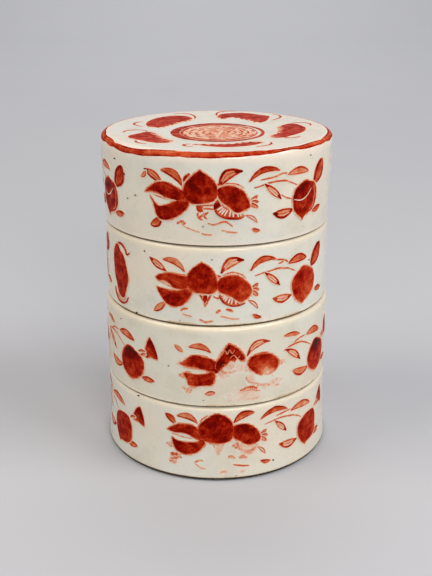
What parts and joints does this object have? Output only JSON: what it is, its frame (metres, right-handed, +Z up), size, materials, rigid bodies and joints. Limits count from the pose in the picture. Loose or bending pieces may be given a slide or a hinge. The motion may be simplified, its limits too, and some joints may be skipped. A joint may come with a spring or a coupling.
{
  "type": "tiered porcelain box",
  "caption": "Round porcelain box of stacking trays under a deep flat-topped lid; each piece lifts off the flange of the one below.",
  "frame": {"origin": "middle of the foot ring, on the surface that the box stands on", "axes": "+Z up along the axis of the round pieces, -Y towards the side that the picture shows"},
  "size_m": [0.104, 0.104, 0.1455],
  "materials": {
    "lower_glaze": "glossy grey-white glaze painted in iron-red enamel",
    "middle_glaze": "glossy grey-white glaze painted in iron-red enamel, worn in front",
    "upper_glaze": "glossy grey-white glaze painted in iron-red enamel",
    "lid_glaze": "glossy grey-white glaze painted in iron-red enamel",
    "iron_red_enamel": "satin overglaze enamel, brushed thick and thin"
  },
  "bodies": {
    "lower_tray": {"lower_tray": "lower_glaze"},
    "middle_tray": {"middle_tray": "middle_glaze"},
    "upper_tray": {"upper_tray": "upper_glaze"},
    "lid": {"lid": "lid_glaze"}
  },
  "joints": [
    {"name": "middle_tray_lift", "type": "slide", "parent": "lower_tray", "child": "middle_tray", "axis": [0, 0, 1], "range_m": [0, 0.06]},
    {"name": "upper_tray_lift", "type": "slide", "parent": "middle_tray", "child": "upper_tray", "axis": [0, 0, 1], "range_m": [0, 0.06]},
    {"name": "lid_lift", "type": "slide", "parent": "upper_tray", "child": "lid", "axis": [0, 0, 1], "range_m": [0, 0.06]}
  ]
}
